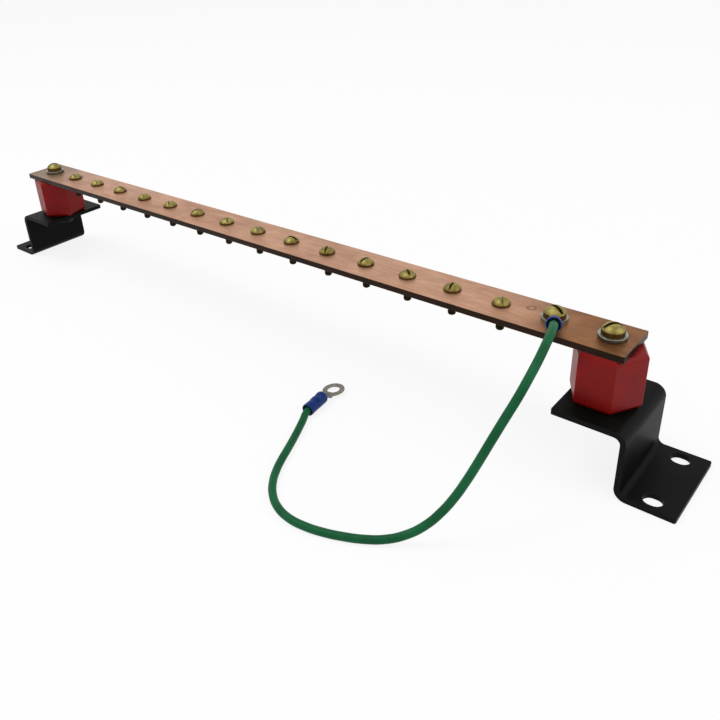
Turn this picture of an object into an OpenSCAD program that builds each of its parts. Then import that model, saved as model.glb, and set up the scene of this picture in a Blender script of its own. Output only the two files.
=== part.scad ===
// Rack grounding busbar: a copper bar on two insulators and two folded rack brackets,
// with a ground lead at its right-hand end.
// +X runs along the bar, +Y to its back and +Z up. The origin is under the bar, midway
// between the brackets, on the plane that their lower flanges stand on. All sizes are
// millimetres.

/* [Rack] */
// Width over both brackets, the width of a 19 inch rack panel
rack_width = 482.6; // [480:0.1:486]
// Distance between the left and the right slots
slot_span = 460.6; // [456:0.1:465]
// Distance between the two slots of one bracket
slot_pitch = 31.75; // [28:0.05:34]
// Length of a slot, end to end
slot_length = 8.2; // [7.2:0.1:10]
// Width of a slot
slot_width = 7; // [6:0.1:7]

/* [Brackets] */
// Width of a bracket, one rack unit less its clearance
bracket_width = 43.7; // [42:0.1:44.4]
// Thickness of the steel sheet
sheet = 2.5; // [1.5:0.1:3]
// Inside radius of both folds
fold_radius = 3; // [2:0.5:4]
// Height of the top of the upper flange
deck_height = 32; // [28:0.5:40]
// Distance from the middle of the rack to the outer face of a web
web_x = 218.5; // [217:0.5:220]
// Distance from the middle of the rack to the inner edge of an upper flange
deck_edge_x = 186.3; // [180:0.1:190]
// Radius of the flanges' corners
flange_corner = 1; // [0.5:0.5:4]

/* [Busbar] */
// Distance from the middle of the rack to the bar's left end
bar_left_end = 214; // [208:0.5:216]
// Distance from the middle of the rack to the bar's right end
bar_right_end = 210; // [208:0.5:216]
// Width of the bar
bar_width = 25; // [22:0.5:30]
// Thickness of the bar
bar_thickness = 3; // [2.5:0.5:5]
// Radius of the bar's corners, seen from above
bar_corner = 0.8; // [0.4:0.1:3]
// Distance between neighbouring holes
hole_pitch = 25; // [24.5:0.1:25]

/* [Insulators] */
// Height of an insulator
insulator_height = 25.4; // [24:0.1:30]
// Width across the flats of an insulator
insulator_flats = 27.1; // [26:0.1:30]
// Width of the chamfer at both ends
chamfer_width = 1.2; // [0.6:0.1:2]
// Height of the chamfer at both ends
chamfer_height = 1.7; // [0.8:0.1:2.5]
// Turn of the left insulator on its bolt, in degrees
left_turn = -16; // [-30:1:30]
// Diameter of a brass insert
insert_diameter = 10; // [9:0.5:12]
// Length of a brass insert
insert_length = 10; // [9:0.5:11]

/* [Screws] */
// Diameter of a terminal screw's head
terminal_head = 8.3; // [7:0.1:9]
// Height of a terminal screw's head
terminal_head_height = 3.2; // [2.4:0.1:3.6]
// Length of a terminal screw under its head
terminal_length = 13; // [8:0.5:16]
// Diameter of the bolts' and the lead screw's heads
bolt_head = 9.5; // [9:0.1:11]
// Height of the bolts' and the lead screw's heads
bolt_head_height = 4.8; // [3.6:0.1:5.2]
// Length of a top bolt under its head
top_bolt_length = 12; // [8:0.5:13]
// Length of the lead screw under its head
lead_screw_length = 8; // [6:0.5:10]
// Length of a base bolt under its head
base_bolt_length = 12; // [8:0.5:12]
// Width across the flats of a base bolt's head
base_head_flats = 10; // [10:0.5:11]

/* [Ground lead] */
// Outer diameter of the wire
wire_diameter = 3.6; // [3.2:0.1:3.8]
// Outer diameter of a lug's ring
ring_diameter = 11.3; // [10:0.1:12]
// Diameter of the hole in a lug's ring
ring_hole = 6.4; // [6.2:0.1:6.6]
// Thickness of a lug's metal
ring_sheet = 0.8; // [0.6:0.1:1]
// Distance from a ring's centre to the mouth of its sleeve
lug_reach = 23; // [21:0.5:26]
// Length of a lug's sleeve
sleeve_length = 13.5; // [11:0.5:15]
// Outer diameter of a lug's sleeve
sleeve_diameter = 6.4; // [5.8:0.1:7]
// Angle that the bar's lug is bent up by, in degrees
lug_bend = 26; // [15:1:35]
// Direction of the bar's lug, seen from above, in degrees from +X
bar_lug_turn = -67; // [-75:1:-60]
// Direction of the free lug, seen from above, in degrees from +X
free_lug_turn = -83; // [-90:1:-80]
// Roll of the free lug round its own axis, in degrees
free_lug_roll = 6; // [0:1:8]

/* [Hidden] */
// Turns of the screws' slots, in degrees from +X
terminal_turns = [146, 145, 20, 142, 136, 62, 146, 135, 10, 111, 75, 144, 99, 124];
terminal_count = len(terminal_turns);
lead_turn = -23;
bolt_turns = [68, 44];

$fn = 64;
eps = 0.01;

bar_bottom = deck_height + insulator_height;
bar_top = bar_bottom + bar_thickness;
mount_x = 8 * hole_pitch;
lead_x = 7 * hole_pitch;
deck_bottom = deck_height - sheet;

m4_shank = 3.9;
m4_hole = 4;
m6_shank = 5.9;
m6_hole = 6;
m6_clearance = 6.6;
terminal_rise = 0.75 * terminal_head_height;
bolt_rise = 0.55 * bolt_head_height;
terminal_slot = [1.1, 1.6];
bolt_slot = [1.5, 2.2];

lead_washer_size = [11.4, 0.9];
top_washer_size = [11.8, 1.6];
base_washer_size = [12, 1.2];

insert_bore_length = insert_length - 1;
groove_depth = 0.6;
groove_length = 2;
base_head_height = 4;

barrel_diameter = 4;
barrel_bore = 2.4;
strands_diameter = 2.3;
barrel_length = 7;
sleeve_overhang = 0.6;
bend_x = 6.9;
tongue_width = 6;
sleeve_start = lug_reach - sleeve_length;
barrel_start = sleeve_start - sleeve_overhang;
sleeve_bore = 4.6;
axis_height = barrel_diameter / 2;
free_lug_centre = [74.6, -29.4];

// Route of the wire's centre line, from inside the bar's lug down to the surface
// and along it to the inside of the free lug
wire_route = [
    [180.5, -13.1, 66.1],
    [183, -18.9, 69.2],
    [184.7, -23, 70.6],
    [186.5, -28.5, 71.2],
    [188.1, -35.5, 70.7],
    [189.1, -43, 68],
    [189.1, -50, 63.6],
    [188.2, -56.5, 57.6],
    [186.5, -62.1, 51],
    [184.4, -67.2, 43.5],
    [182.1, -71.7, 35.6],
    [179.6, -75.7, 27.9],
    [177, -79.3, 21.2],
    [173.9, -83.1, 15.1],
    [169.6, -88, 9.3],
    [163.8, -93.2, 4.9],
    [157.5, -97.8, 2.6],
    [150.5, -102, 1.8],
    [143, -105.8, 1.8],
    [135, -108.8, 1.8],
    [127.2, -110.6, 1.8],
    [119.2, -111, 1.8],
    [111, -109, 1.8],
    [104.1, -104.7, 1.8],
    [98.7, -99, 1.8],
    [94.6, -92.5, 1.8],
    [91.3, -85.5, 1.8],
    [88.2, -77.7, 1.8],
    [84.9, -69.8, 1.8],
    [82.2, -63.5, 2],
    [80, -58.4, 2.4],
    [78.4, -55, 2.8],
    [77.5, -52, 3.1],
    [77, -49.2, 3.2],
    [76.6, -45.25, 3.2]
];
wire_sides = 8;

// Radius of the sphere that domes a round of radius r by the height rise
function dome_radius(r, rise) = (r * r + rise * rise) / (2 * rise);

// Unit vector along v
function unit(v) = v / norm(v);

// Direction of the route at its point i
function route_direction(p, i) = unit(p[min(i + 1, len(p) - 1)] - p[max(i - 1, 0)]);

// Ring of points of radius r round the route's point i
function route_ring(p, i, r, sides) =
    let (along = route_direction(p, i))
    let (side = unit(cross(along, [0, 0, 1])))
    let (up = cross(side, along))
    [for (k = [0:sides - 1]) p[i] + r * (cos(360 * k / sides) * side + sin(360 * k / sides) * up)];

// Tube of one solid that follows the points p
module swept_tube(p, r, sides) {
    last = len(p) - 1;
    rings = [for (i = [0:last]) route_ring(p, i, r, sides)];
    points = [for (ring = rings) each ring];
    walls = [for (i = [0:last - 1], k = [0:sides - 1])
        let (a = i * sides, next = (k + 1) % sides)
        [a + k, a + sides + k, a + sides + next, a + next]];
    start_cap = [for (k = [0:sides - 1]) k];
    end_cap = [for (k = [sides - 1:-1:0]) last * sides + k];
    polyhedron(points, concat(walls, [start_cap, end_cap]));
}

// Flat ring with its underside on z = 0
module washer(size, hole) {
    difference() {
        cylinder(d = size[0], h = size[1]);
        translate([0, 0, -eps]) cylinder(d = hole, h = size[1] + 2 * eps);
    }
}

// Screw with a slotted head that stands on z = 0 and ends in a dome of the given rise, and a
// shank with a rounded tip below it
module slotted_screw(head, height, rise, shank, length, slot, turn) {
    tip = 0.35 * shank;
    difference() {
        intersection() {
            cylinder(d = head, h = height);
            translate([0, 0, height - dome_radius(head / 2, rise)])
                sphere(dome_radius(head / 2, rise));
        }
        rotate([0, 0, turn])
            translate([-head, -slot[0] / 2, height - slot[1]])
                cube([2 * head, slot[0], height]);
    }
    intersection() {
        translate([0, 0, -length]) cylinder(d = shank, h = length);
        translate([0, 0, dome_radius(shank / 2, tip) - length])
            rounded_tip(dome_radius(shank / 2, tip), length);
    }
}

// Ball of radius r with a column above it, which rounds the tip of a shank
module rounded_tip(r, length) {
    sphere(r);
    cylinder(r = r, h = length);
}

// Outline with round ends, length along X
module slot_outline(length, width) {
    reach = (length - width) / 2;
    square([2 * reach, width], center = true);
    for (x = [-reach, reach]) translate([x, 0]) circle(d = width);
}

// Rectangle from x0 to x1 with rounded corners, centred on Y
module rounded_plate(x0, x1, width, corner) {
    translate([x0 + corner, -width / 2]) square([x1 - x0 - 2 * corner, width]);
    translate([x0, -width / 2 + corner]) square([x1 - x0, width - 2 * corner]);
    for (x = [x0 + corner, x1 - corner], y = [-1, 1])
        translate([x, y * (width / 2 - corner)]) circle(r = corner);
}

// Places its children over both mounting bolts; 0 is the left one and 1 the right one
module at_mount(side) {
    translate([side == 0 ? -mount_x : mount_x, 0, 0]) children();
}

module busbar() {
    color("#b0805c")
    translate([0, 0, bar_bottom])
    linear_extrude(bar_thickness)
    difference() {
        rounded_plate(-bar_left_end, bar_right_end, bar_width, bar_corner);
        for (i = [0:terminal_count - 1]) translate([(i - 7) * hole_pitch, 0]) circle(d = m4_hole);
        translate([lead_x, 0]) circle(d = m6_hole);
        for (x = [-mount_x, mount_x]) translate([x, 0]) circle(d = m6_clearance);
    }
}

module terminal_screw(i) {
    color("#96823f")
    translate([(i - 8) * hole_pitch, 0, bar_top])
        slotted_screw(terminal_head, terminal_head_height, terminal_rise, m4_shank,
            terminal_length, terminal_slot, terminal_turns[i - 1]);
}

module lead_screw() {
    color("#a08c46")
    translate([lead_x, 0, bar_top + ring_sheet + lead_washer_size[1]])
        slotted_screw(bolt_head, bolt_head_height, bolt_rise, m6_shank, lead_screw_length,
            bolt_slot, lead_turn);
}

module lead_washer() {
    color("#b4b4ac")
    translate([lead_x, 0, bar_top + ring_sheet])
        washer(lead_washer_size, m6_clearance);
}

// Folded end of a lug: everything on the wire's side of the bend, in a frame whose X axis
// runs along the barrel and starts at the bend, with the sheet's underside on z = 0
module lug_barrel() {
    barrel_from = barrel_start - bend_x;
    hull() {
        translate([0, -tongue_width / 2, 0]) cube([0.4, tongue_width, ring_sheet]);
        translate([barrel_from - 0.4, 0, axis_height]) rotate([0, 90, 0])
            cylinder(d = barrel_diameter - 0.4, h = 0.4, $fn = 32);
    }
    translate([barrel_from, 0, axis_height]) rotate([0, 90, 0]) difference() {
        cylinder(d = barrel_diameter, h = barrel_length);
        translate([0, 0, eps]) cylinder(d = barrel_bore, h = barrel_length);
    }
}

// Ring, tongue and barrel of a lug, centred on its hole, bent up by the angle bend
module lug_metal(bend) {
    linear_extrude(ring_sheet) difference() {
        union() {
            circle(d = ring_diameter);
            translate([0, -tongue_width / 2]) square([bend_x, tongue_width]);
        }
        circle(d = ring_hole);
    }
    at_bend(bend) lug_barrel();
}

// Places its children at a lug's bend, tilted up by the angle bend
module at_bend(bend) {
    translate([bend_x, 0, 0]) rotate([0, -bend, 0]) children();
}

// Insulating sleeve of a lug, in the same frame as the barrel
module lug_sleeve() {
    step_x = barrel_length - sleeve_overhang;
    translate([sleeve_start - bend_x, 0, axis_height]) rotate([0, 90, 0]) difference() {
        union() {
            cylinder(d1 = sleeve_diameter - 0.8, d2 = sleeve_diameter, h = 0.6);
            translate([0, 0, 0.6]) cylinder(d = sleeve_diameter, h = sleeve_length - 0.6);
        }
        translate([0, 0, -eps]) cylinder(d = barrel_diameter, h = sleeve_length);
        translate([0, 0, step_x]) cylinder(d = sleeve_bore, h = sleeve_length);
        translate([0, 0, sleeve_length - 1])
            cylinder(d1 = sleeve_bore, d2 = sleeve_diameter - 0.8, h = 1 + eps);
    }
}

// Stripped strands of the wire in a lug's barrel, in the same frame as the barrel
module lug_strands() {
    translate([barrel_start - bend_x + 1, 0, axis_height]) rotate([0, 90, 0])
        cylinder(d = strands_diameter, h = barrel_length - 1);
}

// Places its children as the lug that is screwed to the bar
module at_bar_lug() {
    translate([lead_x, 0, bar_top]) rotate([0, 0, bar_lug_turn]) children();
}

// Places its children as the lug that lies on the surface, rolled round its barrel's axis
module at_free_lug() {
    translate([free_lug_centre[0], free_lug_centre[1], sleeve_diameter / 2])
        rotate([0, 0, free_lug_turn]) rotate([free_lug_roll, 0, 0])
            translate([0, 0, -axis_height]) children();
}

module bar_lug() {
    color("#a8a49c") at_bar_lug() lug_metal(lug_bend);
}

module bar_lug_sleeve() {
    color("#1c3c78") at_bar_lug() at_bend(lug_bend) lug_sleeve();
}

module bar_lug_strands() {
    color("#b87850") at_bar_lug() at_bend(lug_bend) lug_strands();
}

module lead_wire() {
    color("#1e6446") swept_tube(wire_route, wire_diameter / 2, wire_sides);
}

module free_lug() {
    color("#a8a49c") at_free_lug() lug_metal(0);
}

module free_lug_sleeve() {
    color("#1c3c78") at_free_lug() at_bend(0) lug_sleeve();
}

module free_lug_strands() {
    color("#b87850") at_free_lug() at_bend(0) lug_strands();
}

// Outer form of a brass insert from z = 0 up, with the groove that locks it in the moulding
module insert_form() {
    waist = (insert_length - groove_length) / 2;
    cylinder(d = insert_diameter, h = waist);
    cylinder(d = insert_diameter - 2 * groove_depth, h = insert_length);
    translate([0, 0, waist + groove_length]) cylinder(d = insert_diameter, h = waist);
}

// Turns a form that is drawn from z = 0 up over, so that it hangs from the insulator's top
module from_top() {
    translate([0, 0, bar_bottom]) mirror([0, 0, 1]) children();
}

// Hexagonal standoff, chamfered at both ends, moulded round its two inserts
module insulator(side) {
    half = insulator_flats / 2;
    profile = [
        [half - chamfer_width, 0],
        [half, chamfer_height],
        [half, insulator_height - chamfer_height],
        [half - chamfer_width, insulator_height],
        [chamfer_width - half, insulator_height],
        [-half, insulator_height - chamfer_height],
        [-half, chamfer_height],
        [chamfer_width - half, 0]
    ];
    color("#6e1412") at_mount(side) difference() {
        translate([0, 0, deck_height]) rotate([0, 0, side == 0 ? left_turn : 0])
            intersection_for(turn = [30, 90, 150])
                rotate([90, 0, turn]) linear_extrude(3 * half, center = true) polygon(profile);
        translate([0, 0, deck_height]) insert_form();
        from_top() insert_form();
    }
}

// Threaded brass insert, open at z = 0
module threaded_insert() {
    difference() {
        insert_form();
        translate([0, 0, -eps]) cylinder(d = m6_hole, h = insert_bore_length + eps);
    }
}

module lower_insert(side) {
    color("#96823f") at_mount(side) translate([0, 0, deck_height]) threaded_insert();
}

module upper_insert(side) {
    color("#96823f") at_mount(side) from_top() threaded_insert();
}

module top_bolt(side) {
    color("#a08c46") at_mount(side)
        translate([0, 0, bar_top + top_washer_size[1]])
            slotted_screw(bolt_head, bolt_head_height, bolt_rise, m6_shank, top_bolt_length,
                bolt_slot, bolt_turns[side]);
}

module top_washer(side) {
    color("#b4b4ac") at_mount(side)
        translate([0, 0, bar_top]) washer(top_washer_size, m6_clearance);
}

module base_bolt(side) {
    seat = deck_bottom - base_washer_size[1];
    color("#1c1d1d") at_mount(side) translate([0, 0, seat]) {
        cylinder(d = m6_shank, h = base_bolt_length);
        translate([0, 0, -base_head_height])
            cylinder(r = base_head_flats / (2 * cos(30)), h = base_head_height, $fn = 6);
    }
}

module base_washer(side) {
    color("#1c1d1d") at_mount(side)
        translate([0, 0, deck_bottom - base_washer_size[1]])
            washer(base_washer_size, m6_clearance);
}

// Quarter of a fold round the origin, from the angle start to start + 90
module fold(start) {
    outer = fold_radius + sheet;
    intersection() {
        difference() {
            circle(r = outer);
            circle(r = fold_radius);
        }
        rotate(start) square(outer + eps);
    }
}

// Section of the right bracket: upper flange, web and lower flange
module bracket_section() {
    outer = fold_radius + sheet;
    translate([deck_edge_x, deck_bottom]) square([web_x - outer - deck_edge_x, sheet]);
    translate([web_x - outer, deck_height - outer]) fold(0);
    translate([web_x - sheet, outer]) square([sheet, deck_height - 2 * outer]);
    translate([web_x - sheet + outer, outer]) fold(180);
    translate([web_x - sheet + outer, 0]) square([rack_width / 2 - web_x + sheet - outer, sheet]);
}

module bracket(side) {
    color("#101110") mirror([side == 0 ? 1 : 0, 0, 0]) difference() {
        intersection() {
            rotate([90, 0, 0]) linear_extrude(bracket_width, center = true) bracket_section();
            linear_extrude(deck_height + eps)
                rounded_plate(deck_edge_x, rack_width / 2, bracket_width, flange_corner);
        }
        for (y = [-slot_pitch / 2, slot_pitch / 2]) translate([slot_span / 2, y, -eps])
            linear_extrude(sheet + 2 * eps) slot_outline(slot_length, slot_width);
        translate([mount_x, 0, deck_bottom - eps]) cylinder(d = m6_clearance, h = sheet + 2 * eps);
    }
}

busbar();
for (i = [1:terminal_count])
    terminal_screw(i);
lead_screw();
lead_washer();
bar_lug();
bar_lug_sleeve();
bar_lug_strands();
lead_wire();
free_lug();
free_lug_sleeve();
free_lug_strands();
insulator(0);  // insulator_left
insulator(1);  // insulator_right
upper_insert(0);  // upper_insert_left
upper_insert(1);  // upper_insert_right
lower_insert(0);  // lower_insert_left
lower_insert(1);  // lower_insert_right
top_bolt(0);  // top_bolt_left
top_bolt(1);  // top_bolt_right
top_washer(0);  // top_washer_left
top_washer(1);  // top_washer_right
base_bolt(0);  // base_bolt_left
base_bolt(1);  // base_bolt_right
base_washer(0);  // base_washer_left
base_washer(1);  // base_washer_right
bracket(0);  // bracket_left
bracket(1);  // bracket_right
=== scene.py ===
import math

import bmesh
import bpy
from mathutils import Matrix, Vector


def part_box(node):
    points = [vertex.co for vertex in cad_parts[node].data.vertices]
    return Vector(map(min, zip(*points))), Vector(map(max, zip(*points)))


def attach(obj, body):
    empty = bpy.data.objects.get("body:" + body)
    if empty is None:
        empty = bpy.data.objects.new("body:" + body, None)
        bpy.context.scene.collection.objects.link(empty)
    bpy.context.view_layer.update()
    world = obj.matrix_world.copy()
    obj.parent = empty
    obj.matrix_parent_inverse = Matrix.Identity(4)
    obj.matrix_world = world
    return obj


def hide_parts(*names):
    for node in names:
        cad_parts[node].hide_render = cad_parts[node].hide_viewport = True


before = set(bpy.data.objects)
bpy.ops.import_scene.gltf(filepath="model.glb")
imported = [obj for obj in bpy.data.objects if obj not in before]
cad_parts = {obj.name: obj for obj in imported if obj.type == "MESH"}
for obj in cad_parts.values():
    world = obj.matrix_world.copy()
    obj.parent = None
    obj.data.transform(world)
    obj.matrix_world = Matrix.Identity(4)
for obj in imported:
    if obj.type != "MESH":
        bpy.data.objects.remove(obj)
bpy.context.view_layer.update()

MM = 0.001

# Levels and axes, in metres, as the CAD has them
BAR_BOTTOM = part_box("busbar")[0].z
BAR_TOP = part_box("busbar")[1].z
HOLE_PITCH = 25 * MM
LEAD_X = 7 * HOLE_PITCH
MOUNT_X = 8 * HOLE_PITCH
TERMINAL_TURNS = [146, 145, 20, 142, 136, 62, 146, 135, 10, 111, 75, 144, 99, 124]
LEAD_TURN = -23
BOLT_TURNS = {"left": 68, "right": 44}

# The two lugs, in the CAD's own figures
RING_SHEET = 0.8 * MM
BEND_X = 6.9 * MM
TONGUE_WIDTH = 6 * MM
BARREL_START = 8.9 * MM
BARREL_END = 15.9 * MM
BARREL_RADIUS = 2 * MM
SLEEVE_START = 9.5 * MM
SLEEVE_END = 23 * MM
SLEEVE_RADIUS = 3.2 * MM
RING_RADIUS = 5.65 * MM
RING_HOLE_RADIUS = 3.2 * MM

WIRE_RADIUS = 1.8 * MM
WIRE_ROUTE = [
    (180.5, -13.1, 66.1), (183, -18.9, 69.2), (184.7, -23, 70.6), (186.5, -28.5, 71.2),
    (188.1, -35.5, 70.7), (189.1, -43, 68), (189.1, -50, 63.6), (188.2, -56.5, 57.6),
    (186.5, -62.1, 51), (184.4, -67.2, 43.5), (182.1, -71.7, 35.6), (179.6, -75.7, 27.9),
    (177, -79.3, 21.2), (173.9, -83.1, 15.1), (169.6, -88, 9.3), (163.8, -93.2, 4.9),
    (157.5, -97.8, 2.6), (150.5, -102, 1.8), (143, -105.8, 1.8), (135, -108.8, 1.8),
    (127.2, -110.6, 1.8), (119.2, -111, 1.8), (111, -109, 1.8), (104.1, -104.7, 1.8),
    (98.7, -99, 1.8), (94.6, -92.5, 1.8), (91.3, -85.5, 1.8), (88.2, -77.7, 1.8),
    (84.9, -69.8, 1.8), (82.2, -63.5, 2), (80, -58.4, 2.4), (78.4, -55, 2.8),
    (77.5, -52, 3.1), (77, -49.2, 3.2), (76.6, -45.25, 3.2),
]


def srgb(red, green, blue):
    """Linear colour of a 0-255 display colour."""
    linear = [(c / 255 / 12.92) if c <= 10 else ((c / 255 + 0.055) / 1.055) ** 2.4
              for c in (red, green, blue)]
    return (*linear, 1.0)


# ---------------------------------------------------------------- camera and light

def make_camera():
    azimuth, elevation, roll = math.radians(41.735), math.radians(28.351), math.radians(-3.488)
    forward = Vector((-math.sin(azimuth) * math.cos(elevation),
                      math.cos(azimuth) * math.cos(elevation), -math.sin(elevation)))
    level = forward.cross(Vector((0, 0, 1))).normalized()
    upright = level.cross(forward)
    right = level * math.cos(roll) + upright * math.sin(roll)
    up = upright * math.cos(roll) - level * math.sin(roll)
    data = bpy.data.cameras.new("camera")
    data.lens = 39
    data.sensor_width = 36
    data.shift_x = 0.0441
    data.shift_y = -0.0668
    data.clip_start = 0.01
    camera = bpy.data.objects.new("camera", data)
    camera.matrix_world = Matrix((right, up, -forward)).transposed().to_4x4()
    camera.matrix_world.translation = Vector((0.293496, -0.274989, 0.223922))
    bpy.context.scene.collection.objects.link(camera)
    bpy.context.scene.camera = camera


def add_area_light(name, location, size, power):
    data = bpy.data.lights.new(name, "AREA")
    data.shape = "DISK"
    data.size = size
    data.energy = power
    light = bpy.data.objects.new(name, data)
    light.location = location
    light.rotation_euler = (-Vector(location)).to_track_quat("-Z", "Y").to_euler()
    bpy.context.scene.collection.objects.link(light)


# ---------------------------------------------------------------- material helpers

class Graph:
    """A material and the nodes that feed its shader."""

    def __init__(self, name):
        self.material = bpy.data.materials.new(name)
        self.material.use_nodes = True
        self.tree = self.material.node_tree
        self.shader = self.tree.nodes["Principled BSDF"]
        self.place = self.add("ShaderNodeTexCoord").outputs["Object"]

    def put(self, socket, value):
        if isinstance(value, bpy.types.NodeSocket):
            self.tree.links.new(value, socket)
        else:
            socket.default_value = value

    def add(self, kind, inputs=None, **settings):
        node = self.tree.nodes.new(kind)
        for key, value in settings.items():
            setattr(node, key, value)
        for key, value in (inputs or {}).items():
            self.put(node.inputs[key], value)
        return node

    def shade(self, **inputs):
        for key, value in inputs.items():
            self.put(self.shader.inputs[key.replace("_", " ")], value)

    def stretched(self, factors):
        return self.add("ShaderNodeVectorMath", {0: self.place, 1: factors},
                        operation="MULTIPLY").outputs[0]

    def noise(self, scale, detail=4.0, rough=0.55, place=None, distortion=0.0):
        return self.add("ShaderNodeTexNoise", {
            "Vector": place or self.place, "Scale": scale, "Detail": detail,
            "Roughness": rough, "Distortion": distortion}).outputs["Fac"]

    def fit(self, value, low, high, to_low=0.0, to_high=1.0):
        return self.add("ShaderNodeMapRange", {
            "Value": value, "From Min": low, "From Max": high,
            "To Min": to_low, "To Max": to_high}).outputs[0]

    def math(self, operation, first, second=0.0):
        return self.add("ShaderNodeMath", {0: first, 1: second}, operation=operation).outputs[0]

    def mix(self, share, first, second, blend="MIX"):
        node = self.add("ShaderNodeMix", data_type="RGBA", blend_type=blend)
        for index, value in ((0, share), (6, first), (7, second)):
            self.put(node.inputs[index], value)
        return node.outputs[2]

    def axis(self, letter):
        return self.add("ShaderNodeSeparateXYZ", {0: self.place}).outputs[letter]

    def facing_up(self):
        normal = self.add("ShaderNodeNewGeometry").outputs["Normal"]
        return self.add("ShaderNodeSeparateXYZ", {0: normal}).outputs["Z"]

    def edges(self, radius):
        """1 on convex edges, 0 on faces: how far a bevelled normal leans from the true one."""
        true_normal = self.add("ShaderNodeNewGeometry").outputs["Normal"]
        round_normal = self.add("ShaderNodeBevel", {"Radius": radius}).outputs[0]
        dot = self.add("ShaderNodeVectorMath", {0: true_normal, 1: round_normal},
                       operation="DOT_PRODUCT").outputs["Value"]
        return self.fit(dot, 0.98, 0.75)

    def distance_to(self, point):
        return self.add("ShaderNodeVectorMath", {0: self.place, 1: point},
                        operation="DISTANCE").outputs["Value"]

    def bump(self, height, depth, strength=1.0):
        self.shade(Normal=self.add("ShaderNodeBump", {
            "Height": height, "Distance": depth, "Strength": strength}).outputs[0])


# ---------------------------------------------------------------- materials

def copper_bar():
    """Rolled copper: pinkish and handled in the middle, browner to the right, with painted shade on its
    sides and a painted highlight along its edges.
    """
    g = Graph("copper_bar")
    streaks = g.noise(700, 5, 0.6, g.stretched((0.12, 1, 1)))
    mottle = g.noise(60, 6, 0.62, g.stretched((0.6, 1.2, 1)), 0.6)
    smudge = g.noise(28, 3, 0.5, g.stretched((0.7, 1, 1)), 0.4)
    fresh = g.mix(g.fit(mottle, 0.3, 0.7), srgb(166, 122, 96), srgb(206, 160, 130))
    fresh = g.mix(g.fit(streaks, 0.4, 0.7, 0.0, 0.4), fresh, srgb(146, 100, 74))
    aged = g.mix(g.fit(mottle, 0.35, 0.65), srgb(104, 66, 36), srgb(150, 100, 60))
    grey = g.mix(g.fit(mottle, 0.3, 0.7), srgb(120, 98, 76), srgb(150, 124, 100))
    along = g.axis("X")
    top = g.mix(g.fit(along, 0.158, 0.186), fresh, aged)
    top = g.mix(g.fit(along, -0.17, -0.2), top, grey)
    top = g.mix(g.fit(smudge, 0.56, 0.72, 0.0, 0.5), top, srgb(120, 80, 52))
    # darker brown disc on the bar top around the first terminal screw
    dark_disc_screw_1 = g.fit(g.distance_to((-0.175, 0, BAR_TOP)), 6.5 * MM, 4 * MM, 0.0, 0.8)
    top = g.mix(dark_disc_screw_1, top, srgb(74, 44, 20))
    ring = g.math("ABSOLUTE", g.math("SUBTRACT", g.distance_to((0.1625, 0.004, BAR_TOP)), 1.7 * MM))
    top = g.mix(g.fit(ring, 0.9 * MM, 0.2 * MM, 0.0, 0.55), top, srgb(96, 58, 34))
    # painted shade: faces that don't face up get a dark brown colour, faces that face up keep the lit top
    # colours
    side = g.mix(g.fit(mottle, 0.35, 0.7), srgb(24, 14, 7), srgb(46, 28, 16))
    upward = g.fit(g.facing_up(), 0.45, 0.95)
    colour = g.mix(upward, side, top)
    # painted highlight: convex edges are lightened towards a pale copper
    colour = g.mix(g.fit(g.edges(0.35 * MM), 0.2, 1.0, 0.0, 0.2), colour, srgb(150, 108, 80))
    g.shade(Base_Color=colour, Metallic=0.85,
            Roughness=g.fit(g.math("ADD", smudge, g.math("MULTIPLY", streaks, 0.4)), 0.5, 1.0, 0.36, 0.58))
    g.bump(g.math("ADD", streaks, g.math("MULTIPLY", mottle, 0.6)), 0.05 * MM, 0.5)
    return g.material


def brass_fastener():
    """Turned brass with painted light: a pale painted highlight on top of the heads, brown painted shade
    low on their sides and below the bar's top, and a pale painted highlight along their edges.
    """
    g = Graph("brass_fastener")
    grain = g.noise(1400, 4, 0.6)
    patch = g.noise(260, 4, 0.6, None, 0.5)
    above = g.math("SUBTRACT", g.axis("Z"), BAR_TOP)
    # painted light: a pale painted highlight on the heads' tops and faces that face up, a brown painted
    # shade low on their walls
    painted_highlight_brass = g.mix(g.fit(patch, 0.35, 0.65), srgb(112, 98, 48), srgb(158, 146, 84))
    painted_shade_brass = g.mix(g.fit(patch, 0.35, 0.65), srgb(62, 42, 14), srgb(96, 72, 26))
    height = g.math("ADD", above, g.fit(grain, 0.3, 0.7, -0.25 * MM, 0.25 * MM))
    top = g.mix(g.fit(g.facing_up(), 0.15, 0.75), painted_shade_brass, painted_highlight_brass)
    colour = g.mix(g.fit(height, 0.2 * MM, 1.5 * MM), painted_shade_brass, top)
    # painted shade: shank parts more than 2 mm below the bar's top, in the holes and under the bar, go
    # dark brown
    colour = g.mix(g.fit(above, -2 * MM, -3.2 * MM), colour, srgb(44, 34, 16))
    # painted highlight: convex edges and slot rims are lightened to a pale gold
    colour = g.mix(g.fit(g.edges(0.25 * MM), 0.3, 1.0, 0.0, 0.35), colour, srgb(190, 176, 112))
    g.shade(Base_Color=colour, Metallic=0.9, Roughness=g.fit(patch, 0.3, 0.7, 0.42, 0.56))
    g.bump(grain, 0.03 * MM, 0.4)
    return g.material


def brass_insert():
    g = Graph("brass_insert")
    patch = g.noise(300, 4, 0.6)
    turned = g.noise(2200, 3, 0.5, g.stretched((0.05, 0.05, 1)))
    g.shade(Base_Color=g.mix(g.fit(patch, 0.3, 0.7), srgb(140, 116, 58), srgb(188, 164, 96)),
            Metallic=1.0, Roughness=g.fit(turned, 0.3, 0.7, 0.3, 0.45))
    g.bump(turned, 0.03 * MM, 0.5)
    return g.material


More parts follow.
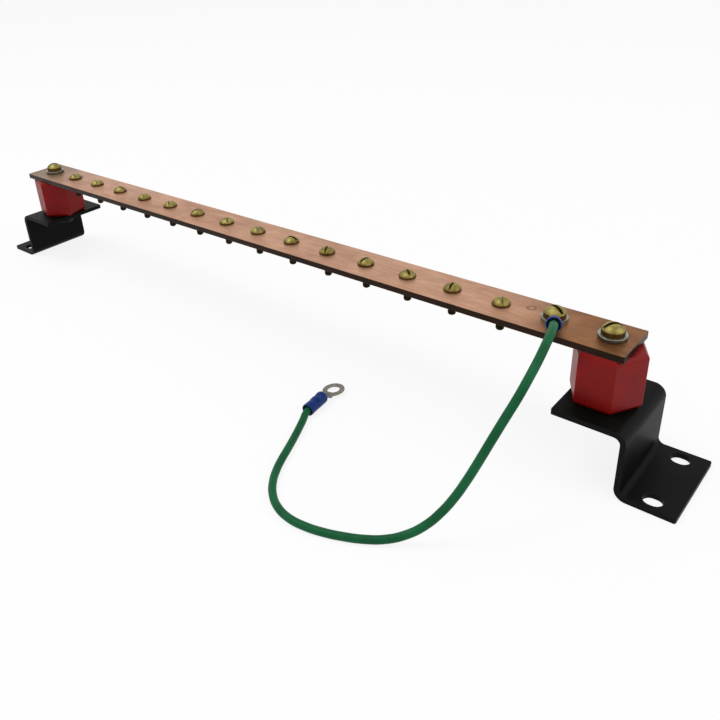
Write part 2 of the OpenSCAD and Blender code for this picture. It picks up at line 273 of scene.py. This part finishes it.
def tinned_copper():
    """Tin over copper, dull grey and a little brown where the tin is thin."""
    g = Graph("tinned_copper")
    patch = g.noise(420, 5, 0.6, None, 0.4)
    grain = g.noise(2600, 3, 0.5)
    colour = g.mix(g.fit(patch, 0.35, 0.68), srgb(112, 110, 98), srgb(142, 136, 126))
    colour = g.mix(g.fit(g.edges(0.2 * MM), 0.2, 1.0, 0.0, 0.5), colour, srgb(96, 92, 84))
    g.shade(Base_Color=colour, Metallic=0.75, Roughness=g.fit(grain, 0.3, 0.7, 0.42, 0.56))
    g.bump(grain, 0.02 * MM, 0.5)
    return g.material


def blue_sleeve():
    """Extruded blue vinyl, with a cloudy and a fine variation."""
    g = Graph("blue_sleeve")
    cloud = g.noise(320, 4, 0.5)
    fine = g.noise(2400, 3, 0.6)
    g.shade(Base_Color=g.mix(g.fit(cloud, 0.3, 0.7), srgb(12, 34, 88), srgb(22, 58, 124)),
            Roughness=g.fit(fine, 0.3, 0.7, 0.36, 0.48), Specular_IOR_Level=0.14)
    g.bump(fine, 0.03 * MM, 0.4)
    return g.material


def bare_copper():
    g = Graph("bare_copper")
    patch = g.noise(900, 4, 0.6)
    g.shade(Base_Color=g.mix(g.fit(patch, 0.3, 0.7), srgb(160, 98, 62), srgb(214, 150, 108)),
            Metallic=1.0, Roughness=g.fit(patch, 0.3, 0.7, 0.28, 0.4))
    g.bump(patch, 0.02 * MM, 0.4)
    return g.material


def green_insulation():
    """Extruded green vinyl with a faint fine and cloudy variation."""
    g = Graph("green_insulation")
    cloud = g.noise(90, 4, 0.55)
    fine = g.noise(1500, 4, 0.6)
    colour = g.mix(g.fit(cloud, 0.3, 0.7), srgb(8, 74, 42), srgb(18, 96, 56))
    colour = g.mix(g.fit(fine, 0.55, 0.8, 0.0, 0.3), colour, srgb(12, 60, 34))
    g.shade(Base_Color=colour, Roughness=g.fit(fine, 0.3, 0.7, 0.4, 0.55),
            Specular_IOR_Level=0.14)
    g.bump(fine, 0.04 * MM, 0.35)
    return g.material


def red_moulding():
    """Glass-filled polyester moulding: deep red, with flow marks and a lighter painted highlight in
    patches along its edges.
    """
    g = Graph("red_moulding")
    cloud = g.noise(70, 5, 0.6, None, 0.8)
    fine = g.noise(1100, 4, 0.6)
    colour = g.mix(g.fit(cloud, 0.3, 0.7), srgb(112, 9, 9), srgb(136, 15, 14))
    colour = g.mix(g.fit(fine, 0.56, 0.8, 0.0, 0.25), colour, srgb(86, 6, 6))
    # painted highlight: convex edges are lightened to a pale red in noisy patches
    painted_edge_highlight = g.math("MULTIPLY", g.edges(0.5 * MM), g.fit(g.noise(240), 0.35, 0.6))
    colour = g.mix(g.fit(painted_edge_highlight, 0.1, 0.9, 0.0, 0.45), colour, srgb(196, 84, 74))
    g.shade(Base_Color=colour, Roughness=g.fit(cloud, 0.3, 0.7, 0.32, 0.44),
            Specular_IOR_Level=0.14)
    g.bump(g.math("ADD", fine, cloud), 0.04 * MM, 0.35)
    return g.material


def plated_washer():
    g = Graph("plated_washer")
    patch = g.noise(500, 4, 0.6)
    fine = g.noise(2600, 3, 0.5)
    colour = g.mix(g.fit(patch, 0.3, 0.7), srgb(128, 130, 116), srgb(170, 170, 158))
    # painted shade: the washer's sides and underside, faces that don't face up, are darkened to a brown
    # grey
    colour = g.mix(g.fit(g.facing_up(), 0.6, 0.1, 0.0, 0.75), colour, srgb(56, 52, 40))
    g.shade(Base_Color=colour, Metallic=0.85, Roughness=g.fit(fine, 0.3, 0.7, 0.34, 0.48))
    g.bump(fine, 0.02 * MM, 0.4)
    return g.material


def black_oxide_steel():
    g = Graph("black_oxide_steel")
    patch = g.noise(400, 4, 0.6)
    g.shade(Base_Color=g.mix(g.fit(patch, 0.3, 0.7), srgb(8, 8, 8), srgb(20, 20, 19)),
            Metallic=0.1, Roughness=g.fit(patch, 0.3, 0.7, 0.4, 0.55), Specular_IOR_Level=0.1)
    g.bump(patch, 0.03 * MM, 0.4)
    return g.material


def black_coated_steel():
    """Black coating with a fine orange peel, and a greyer painted highlight along its edges and folds."""
    g = Graph("black_coated_steel")
    peel = g.noise(1300, 3, 0.5)
    cloud = g.noise(45, 4, 0.55)
    colour = g.mix(g.fit(cloud, 0.3, 0.7), srgb(4, 5, 4), srgb(10, 12, 10))
    # painted highlight: edges and folds are lightened to the greenish grey of the bracket's reflections
    colour = g.mix(g.fit(g.edges(0.6 * MM), 0.25, 1.0, 0.0, 0.5), colour, srgb(40, 46, 40))
    g.shade(Base_Color=colour, Roughness=g.fit(peel, 0.3, 0.7, 0.4, 0.55),
            Specular_IOR_Level=0.07)
    g.bump(peel, 0.05 * MM, 0.3)
    return g.material


def make_materials():
    makers = (copper_bar, brass_fastener, brass_insert, tinned_copper, blue_sleeve, bare_copper,
              green_insulation, red_moulding, plated_washer, black_oxide_steel,
              black_coated_steel)
    return {maker.__name__: maker() for maker in makers}


# ---------------------------------------------------------------- mesh helpers

def add_piece(name, mesh, slot, replaced):
    """Puts a finished mesh in the scene as the piece that stands for a CAD node."""
    piece = bpy.data.objects.new(name, mesh)
    bpy.context.scene.collection.objects.link(piece)
    finish_piece(piece, slot, replaced)
    return piece


def finish_piece(piece, slot, replaced):
    piece.data.materials.clear()
    piece.data.materials.append(MATERIALS[slot])
    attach(piece, "root")
    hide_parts(replaced)


def mesh_of(shape, name, sharp_angle=32):
    """Turns a bmesh into a smooth-shaded mesh with its sharp edges kept."""
    bmesh.ops.recalc_face_normals(shape, faces=shape.faces)
    mesh = bpy.data.meshes.new(name)
    shape.to_mesh(mesh)
    shape.free()
    mesh.shade_smooth()
    mesh.set_sharp_from_angle(angle=math.radians(sharp_angle))
    return mesh


def softened(node, slot, width, segments=3):
    """Copy of a CAD node with its machined edges broken by a small rounding."""
    shape = bmesh.new()
    shape.from_mesh(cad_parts[node].data)
    bmesh.ops.remove_doubles(shape, verts=shape.verts, dist=0.002 * MM)
    bmesh.ops.dissolve_limit(shape, angle_limit=math.radians(0.5), verts=shape.verts,
                             edges=shape.edges)
    piece = add_piece(node + "_softened", mesh_of(shape, node + "_softened"), slot, node)
    bevel = piece.modifiers.new("edges", "BEVEL")
    bevel.width = width
    bevel.segments = segments
    bevel.limit_method = "ANGLE"
    bevel.angle_limit = math.radians(28)
    bevel.harden_normals = True
    return piece


def loft(shape, rings, closed_ends=True):
    """Skins a list of rings of points with quads, and caps the two ends."""
    rows = [[shape.verts.new(point) for point in ring] for ring in rings]
    count = len(rows[0])
    for lower, upper in zip(rows, rows[1:]):
        for i in range(count):
            j = (i + 1) % count
            shape.faces.new((lower[i], lower[j], upper[j], upper[i]))
    if closed_ends:
        shape.faces.new(rows[0][::-1])
        shape.faces.new(rows[-1])


# ---------------------------------------------------------------- screws

HEAD_COLUMNS = 30
EDGE_RADIUS = 0.12 * MM


def head_rows(radius, slot_width):
    """Distances from the slot's middle line at which the head's surface is sampled."""
    half = slot_width / 2
    near = [half - 0.05 * MM, half, half + 0.04 * MM, half + 0.1 * MM, half + 0.2 * MM]
    far = [half + 0.2 * MM + (radius - half - 0.2 * MM) * (k / 12) for k in range(1, 12)]
    positive = [half / 2, *near, *far, radius * 0.995]
    return [-y for y in reversed(positive)] + [0.0] + positive


def dome_level(distance, radius, height, rise):
    """Height of the head's dome over its seat at a distance from its axis."""
    sphere = (radius ** 2 + rise ** 2) / (2 * rise)
    return height - sphere + math.sqrt(max(sphere ** 2 - distance ** 2, 0.0))


def slot_level(across, slot_width, floor):
    """Upper limit that the slot sets on the head's surface, with its rims rounded."""
    beyond = abs(across) - slot_width / 2
    if beyond <= 0:
        return floor
    if beyond < EDGE_RADIUS:
        return floor + 100 * MM * (beyond / EDGE_RADIUS > 0.3) + 0.2 * MM
    return 1.0


def add_head(shape, radius, height, rise, slot_width, slot_depth):
    """Domed slotted head that stands on z = 0: one grid over its top, then its wall."""
    floor = height - slot_depth
    rows = []
    for y in head_rows(radius, slot_width):
        reach = math.sqrt(max(radius ** 2 - y ** 2, 0.0))
        row = []
        for k in range(HEAD_COLUMNS + 1):
            x = -reach * math.cos(math.pi * k / HEAD_COLUMNS)
            level = dome_level(math.hypot(x, y), radius, height, rise)
            beyond = abs(y) - slot_width / 2
            if beyond < 0.001 * MM:
                level = min(level, floor)
            elif beyond < EDGE_RADIUS:
                drop = EDGE_RADIUS - math.sqrt(max(EDGE_RADIUS ** 2 - (EDGE_RADIUS - beyond) ** 2, 0))
                level = max(min(level, floor), level - drop)
            row.append(shape.verts.new((x, y, level)))
        rows.append(row)
    for lower, upper in zip(rows, rows[1:]):
        for i in range(HEAD_COLUMNS):
            shape.faces.new((lower[i], lower[i + 1], upper[i + 1], upper[i]))
    rim = rows[0] + [row[-1] for row in rows[1:-1]] + rows[-1][::-1] + [row[0] for row in rows[-2:0:-1]]
    top = height - rise
    previous = rim
    for inset, level in ((0, top - 0.1 * MM), (0, 0.15 * MM), (0.15 * MM, 0.0)):
        scale = (radius - inset) / radius
        ring = [shape.verts.new((v.co.x * scale, v.co.y * scale, level)) for v in rim]
        for i in range(len(rim)):
            j = (i + 1) % len(rim)
            shape.faces.new((previous[i], previous[j], ring[j], ring[i]))
        previous = ring
    shape.faces.new(previous)


THREAD_SIDES = 32
THREAD_STEPS = 8


def thread_radius(turn_share, depth, radius):
    """Radius of a thread's surface at a share of its pitch: flat crest, flanks, flat root."""
    wave = abs(2 * (turn_share % 1.0) - 1)
    return radius - depth * min(max((wave - 0.12) / 0.66, 0.0), 1.0)


def add_shank(shape, radius, pitch, length, tip):
    """Threaded shank from z = 0 down, plain just under the head and rounded at its end."""
    depth = 0.54 * pitch
    rows = int(length / pitch * THREAD_STEPS)
    rings = []
    for k in range(rows + 1):
        z = -length * k / rows
        fade_top = min(max((-z - 0.6 * pitch) / pitch, 0.0), 1.0)
        to_end = length + z
        cap = radius
        if to_end < tip:
            cap = radius * math.sqrt(max(1 - ((tip - to_end) / tip) ** 2, 0.06))
        ring = []
        for i in range(THREAD_SIDES):
            angle = 2 * math.pi * i / THREAD_SIDES
            r = thread_radius(-z / pitch - i / THREAD_SIDES, depth * fade_top, radius)
            r = min(r, cap)
            ring.append((r * math.cos(angle), r * math.sin(angle), z))
        rings.append(ring)
    loft(shape, rings)


def screw_mesh(name, radius, height, rise, slot, shank_radius, pitch, length):
    shape = bmesh.new()
    add_head(shape, radius, height, rise, *slot)
    add_shank(shape, shank_radius, pitch, length, 0.35 * 2 * shank_radius)
    bmesh.ops.remove_doubles(shape, verts=shape.verts, dist=0.004 * MM)
    return mesh_of(shape, name, 30)


def place_screw(node, mesh, location, turn):
    piece = bpy.data.objects.new(node + "_turned", mesh.copy())
    bpy.context.scene.collection.objects.link(piece)
    piece.data.transform(Matrix.Translation(location) @ Matrix.Rotation(math.radians(turn), 4, "Z"))
    finish_piece(piece, "brass_fastener", node)


def make_screws():
    terminal = screw_mesh("terminal", 4.15 * MM, 3.2 * MM, 2.4 * MM, (1.1 * MM, 1.6 * MM),
                          1.95 * MM, 0.7 * MM, 13 * MM)
    for i, turn in enumerate(TERMINAL_TURNS, 1):
        place_screw(f"terminal_screw_{i}", terminal, ((i - 8) * HOLE_PITCH, 0, BAR_TOP), turn)
    head = (4.75 * MM, 4.8 * MM, 2.64 * MM, (1.5 * MM, 2.2 * MM), 2.95 * MM, 1.0 * MM)
    lead = screw_mesh("lead", *head, 8 * MM)
    place_screw("lead_screw", lead, (LEAD_X, 0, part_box("lead_washer")[1].z), LEAD_TURN)
    top = screw_mesh("top", *head, 12 * MM)
    for side, x in (("left", -MOUNT_X), ("right", MOUNT_X)):
        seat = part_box("top_washer_" + side)[1].z
        place_screw("top_bolt_" + side, top, (x, 0, seat), BOLT_TURNS[side])


def make_base_bolts():
    """Hexagon bolts under the brackets: chamfered head, threaded shank upwards."""
    flats, head_height, sides = 10 * MM, 4 * MM, 72
    rings = []
    for z, cone in ((0, 2), (-head_height + 0.9 * MM, 2), (-head_height + 0.45 * MM, 1.09),
                    (-head_height, 0.95)):
        ring = []
        for i in range(sides):
            angle = 2 * math.pi * i / sides
            to_flat = (angle % (math.pi / 3)) - math.pi / 6
            r = min(flats / 2 / math.cos(to_flat), flats / 2 * cone)
            ring.append((r * math.cos(angle), r * math.sin(angle), z))
        rings.append(ring)
    for side, x in (("left", -MOUNT_X), ("right", MOUNT_X)):
        shape = bmesh.new()
        add_shank(shape, 2.95 * MM, 1.0 * MM, 12 * MM, 2 * MM)
        bmesh.ops.transform(shape, matrix=Matrix.Rotation(math.pi, 4, "X"), verts=shape.verts)
        loft(shape, rings)
        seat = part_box("base_washer_" + side)[0].z
        bmesh.ops.transform(shape, matrix=Matrix.Translation((x, 0, seat)), verts=shape.verts)
        add_piece(f"base_bolt_{side}_turned", mesh_of(shape, "base_bolt", 28),
                  "black_oxide_steel", "base_bolt_" + side)


# ---------------------------------------------------------------- ground lead

BAR_LUG_PLACE = (Matrix.Translation((LEAD_X, 0, BAR_TOP))
                 @ Matrix.Rotation(math.radians(-67), 4, "Z"))
FREE_LUG_PLACE = (Matrix.Translation((74.6 * MM, -29.4 * MM, SLEEVE_RADIUS))
                  @ Matrix.Rotation(math.radians(-83), 4, "Z")
                  @ Matrix.Rotation(math.radians(6), 4, "X")
                  @ Matrix.Translation((0, 0, -BARREL_RADIUS)))
LUG_SIDES = 28


def bend_matrix(bend):
    """Everything past a lug's bend, tilted up about the bend line."""
    return (Matrix.Translation((BEND_X, 0, 0)) @ Matrix.Rotation(math.radians(-bend), 4, "Y")
            @ Matrix.Translation((-BEND_X, 0, 0)))


def add_ring_plate(shape):
    """Stamped ring and its tongue, with rolled-over outer edges."""
    start = math.asin(TONGUE_WIDTH / 2 / RING_RADIUS)
    steps = 56
    outline = [(BEND_X + 0.05 * MM, -TONGUE_WIDTH / 2), (BEND_X + 0.05 * MM, TONGUE_WIDTH / 2)]
    outline += [(RING_RADIUS * math.cos(a), RING_RADIUS * math.sin(a))
                for a in (start + (2 * math.pi - 2 * start) * k / steps for k in range(steps + 1))]
    count = len(outline)
    soft = 0.12 * MM

    def shrunk(inset):
        points = []
        for i, (x, y) in enumerate(outline):
            before, after = Vector(outline[i - 1]), Vector(outline[(i + 1) % count])
            along = (after - before).normalized()
            points.append((x - along.y * inset, y + along.x * inset))
        return points

    layers = [(soft, 0), (0, soft), (0, RING_SHEET - soft), (soft, RING_SHEET)]
    outer = [[shape.verts.new((x, y, z)) for x, y in shrunk(inset)] for inset, z in layers]
    hole = []
    for inset, z in ((soft, 0), (0, soft), (0, RING_SHEET - soft), (soft, RING_SHEET)):
        r = RING_HOLE_RADIUS + inset
        angles = [math.atan2(y, x) for x, y in outline]
        hole.append([shape.verts.new((r * math.cos(a), r * math.sin(a), z)) for a in angles])
    for i in range(count):
        j = (i + 1) % count
        for low, high in zip(outer, outer[1:]):
            shape.faces.new((low[i], low[j], high[j], high[i]))
        for low, high in zip(hole, hole[1:]):
            shape.faces.new((high[i], high[j], low[j], low[i]))
        shape.faces.new((outer[-1][i], outer[-1][j], hole[-1][j], hole[-1][i]))
        shape.faces.new((hole[0][i], hole[0][j], outer[0][j], outer[0][i]))


def strip_section(x, width, roll):
    """Section of the lug's metal at x: a strip of the sheet rolled up by the angle roll."""
    middle = BARREL_RADIUS - RING_SHEET / 2
    radius = width / roll
    outer, inner = [], []
    for k in range(LUG_SIDES + 1):
        angle = roll * (k / LUG_SIDES - 0.5)
        y, z = radius * math.sin(angle), RING_SHEET / 2 + radius * (1 - math.cos(angle))
        for points, side in ((outer, 1), (inner, -1)):
            r = side * RING_SHEET / 2 * min(1, middle / max(middle, 1e-6))
            points.append((x, y + r * math.sin(angle), z - r * math.cos(angle)))
    return outer + inner[::-1]


def make_lug(node, place, bend):
    """Ring lug: flat ring and tongue, rolled up into a seamed barrel."""
    plate = bmesh.new()
    add_ring_plate(plate)
    barrel = bmesh.new()
    full = 2 * math.pi * 0.992
    full_width = (BARREL_RADIUS - RING_SHEET / 2) * full
    rings = []
    for k in range(13):
        share = k / 12
        ease = share * share * (3 - 2 * share)
        x = BEND_X + (BARREL_START - BEND_X) * share
        rings.append(strip_section(x, TONGUE_WIDTH + (full_width - TONGUE_WIDTH) * ease,
                                   0.02 + (full - 0.02) * ease))
    rings += [strip_section(x, full_width, full) for x in (BARREL_START + 1 * MM, BARREL_END)]
    loft(barrel, rings)
    bmesh.ops.transform(barrel, matrix=bend_matrix(bend), verts=barrel.verts)
    joined = bpy.data.meshes.new("barrel")
    barrel.to_mesh(joined)
    barrel.free()
    plate.from_mesh(joined)
    bpy.data.meshes.remove(joined)
    bmesh.ops.transform(plate, matrix=place, verts=plate.verts)
    return add_piece(node + "_stamped", mesh_of(plate, node), "tinned_copper", node)


def sleeve_dent(x, angle):
    """How far the crimping tool pressed the sleeve in, near its ring end and its middle."""
    top = max(math.sin(angle), 0.0) ** 3
    depth = 0.0
    for centre, amount in ((SLEEVE_START + 3.4 * MM, 0.75), (SLEEVE_START + 8.2 * MM, 0.3)):
        depth += amount * MM * math.exp(-((x - centre) / (1.0 * MM)) ** 2)
    return depth * top


def make_sleeve(node, place, bend):
    """Sleeve over a lug's barrel: crimped, necked at its ring end, belled at its mouth."""
    sides, steps = 48, 44
    length = SLEEVE_END - SLEEVE_START
    rings = []
    for k in range(steps + 1):
        x = SLEEVE_START + length * k / steps
        to_start, to_end = x - SLEEVE_START, SLEEVE_END - x
        radius = SLEEVE_RADIUS
        radius -= 0.4 * MM * max(0.0, 1 - to_start / (0.8 * MM)) ** 2
        radius -= 0.12 * MM * math.exp(-((to_end - 4 * MM) / (3 * MM)) ** 2)
        radius -= 0.25 * MM * max(0.0, 1 - to_end / (0.4 * MM)) ** 2
        rings.append([(x, (radius - sleeve_dent(x, a)) * math.cos(a),
                       BARREL_RADIUS + (radius - sleeve_dent(x, a)) * math.sin(a))
                      for a in (2 * math.pi * i / sides for i in range(sides))])
    inside = [(SLEEVE_END - 0.05 * MM, 2.75), (SLEEVE_END - 0.5 * MM, 2.5),
              (SLEEVE_END - 1.2 * MM, 2.3), (BARREL_END + 0.1 * MM, 2.3), (BARREL_END, 2.02),
              (SLEEVE_START + 0.05 * MM, 2.02)]
    for x, radius in inside:
        rings.append([(x, radius * MM * math.cos(a), BARREL_RADIUS + radius * MM * math.sin(a))
                      for a in (2 * math.pi * i / sides for i in range(sides))])
    shape = bmesh.new()
    loft(shape, rings + [rings[0]], closed_ends=False)
    bmesh.ops.remove_doubles(shape, verts=shape.verts, dist=0.0005 * MM)
    bmesh.ops.transform(shape, matrix=place @ bend_matrix(bend), verts=shape.verts)
    return add_piece(node + "_crimped", mesh_of(shape, node, 50), "blue_sleeve", node)


def make_strands(node, place, bend):
    """Seven twisted copper strands in a lug's barrel, their ends just past it."""
    shape = bmesh.new()
    start, end = BARREL_START + 0.1 * MM, BARREL_END - 0.2 * MM
    strand, lay, sides = 0.38 * MM, 12 * MM, 10
    for s in range(7):
        offset = 0 if s == 0 else 0.76 * MM
        rings = []
        for k in range(15):
            x = start + (end - start) * k / 14
            turn = 2 * math.pi * (s / 6 + x / lay)
            y, z = offset * math.cos(turn), BARREL_RADIUS + offset * math.sin(turn)
            rings.append([(x, y + strand * math.cos(a), z + strand * math.sin(a))
                          for a in (2 * math.pi * i / sides for i in range(sides))])
        loft(shape, rings)
    bmesh.ops.transform(shape, matrix=place @ bend_matrix(bend), verts=shape.verts)
    return add_piece(node + "_twisted", mesh_of(shape, node, 50), "bare_copper", node)


def make_wire():
    """The lead's insulated wire, one smooth line through the route's points."""
    curve = bpy.data.curves.new("lead_wire_insulation", "CURVE")
    curve.dimensions = "3D"
    curve.bevel_depth = WIRE_RADIUS
    curve.bevel_resolution = 6
    curve.resolution_u = 8
    curve.use_fill_caps = True
    spline = curve.splines.new("BEZIER")
    spline.bezier_points.add(len(WIRE_ROUTE) - 1)
    for point, place in zip(spline.bezier_points, WIRE_ROUTE):
        point.co = Vector(place) * MM
        point.handle_left_type = point.handle_right_type = "AUTO"
    wire = bpy.data.objects.new("lead_wire_insulation", curve)
    bpy.context.scene.collection.objects.link(wire)
    finish_piece(wire, "green_insulation", "lead_wire")


def make_ground_lead():
    for end, place, bend in (("bar", BAR_LUG_PLACE, 26), ("free", FREE_LUG_PLACE, 0)):
        make_lug(f"{end}_lug", place, bend)
        make_sleeve(f"{end}_lug_sleeve", place, bend)
        make_strands(f"{end}_lug_strands", place, bend)
    make_wire()


# ---------------------------------------------------------------- bar, brackets, insulators

def make_plain_parts():
    softened("busbar", "copper_bar", 0.2 * MM)
    softened("lead_washer", "plated_washer", 0.12 * MM)
    for side in ("left", "right"):
        softened("bracket_" + side, "black_coated_steel", 0.3 * MM)
        softened("insulator_" + side, "red_moulding", 0.35 * MM, 4)
        softened("top_washer_" + side, "plated_washer", 0.18 * MM)
        softened("base_washer_" + side, "black_oxide_steel", 0.12 * MM)
        for node in ("upper_insert_" + side, "lower_insert_" + side):
            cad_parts[node].data.materials.clear()
            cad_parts[node].data.materials.append(MATERIALS["brass_insert"])


# ---------------------------------------------------------------- surroundings

def background_share(tree):
    """1 for the rays that show the background: camera, glossy and transmission rays."""
    path = tree.nodes.new("ShaderNodeLightPath")
    share = path.outputs["Is Camera Ray"]
    for name in ("Is Glossy Ray", "Is Transmission Ray"):
        node = tree.nodes.new("ShaderNodeMath")
        node.operation = "MAXIMUM"
        tree.links.new(share, node.inputs[0])
        tree.links.new(path.outputs[name], node.inputs[1])
        share = node.outputs[0]
    return share


FILL = 0.62


def make_world():
    world = bpy.data.worlds.new("studio")
    bpy.context.scene.world = world
    world.use_nodes = True
    tree = world.node_tree
    background = tree.nodes["Background"]
    background.inputs["Color"].default_value = (1, 1, 1, 1)
    strength = tree.nodes.new("ShaderNodeMapRange")
    tree.links.new(background_share(tree), strength.inputs["Value"])
    strength.inputs["To Min"].default_value = FILL
    strength.inputs["To Max"].default_value = 1.0
    tree.links.new(strength.outputs[0], background.inputs["Strength"])


def make_floor():
    """Plain pale floor: it takes shadows, and is near white to the camera."""
    material = bpy.data.materials.new("floor")
    material.use_nodes = True
    tree = material.node_tree
    diffuse = tree.nodes["Principled BSDF"]
    diffuse.inputs["Base Color"].default_value = (0.93, 0.93, 0.93, 1)
    diffuse.inputs["Roughness"].default_value = 1.0
    diffuse.inputs["Specular IOR Level"].default_value = 0.0
    glow = tree.nodes.new("ShaderNodeEmission")
    mix = tree.nodes.new("ShaderNodeMixShader")
    share = tree.nodes.new("ShaderNodeMath")
    share.operation = "MULTIPLY"
    share.inputs[1].default_value = 0.85
    tree.links.new(background_share(tree), share.inputs[0])
    tree.links.new(share.outputs[0], mix.inputs[0])
    tree.links.new(diffuse.outputs[0], mix.inputs[1])
    tree.links.new(glow.outputs[0], mix.inputs[2])
    tree.links.new(mix.outputs[0], tree.nodes["Material Output"].inputs["Surface"])
    shape = bmesh.new()
    bmesh.ops.create_grid(shape, x_segments=8, y_segments=8, size=30)
    floor = bpy.data.objects.new("floor", mesh_of(shape, "floor"))
    floor.location.z = -0.05 * MM
    floor.data.materials.append(material)
    bpy.context.scene.collection.objects.link(floor)


make_camera()
MATERIALS = make_materials()
make_ground_lead()
make_screws()
make_base_bolts()
make_plain_parts()
make_world()
make_floor()
add_area_light("key", (-0.5, -0.4, 1.5), 0.9, 9)
add_area_light("side", (1.2, 0.2, 0.9), 0.7, 4)
bpy.context.scene.view_settings.view_transform = "Standard"
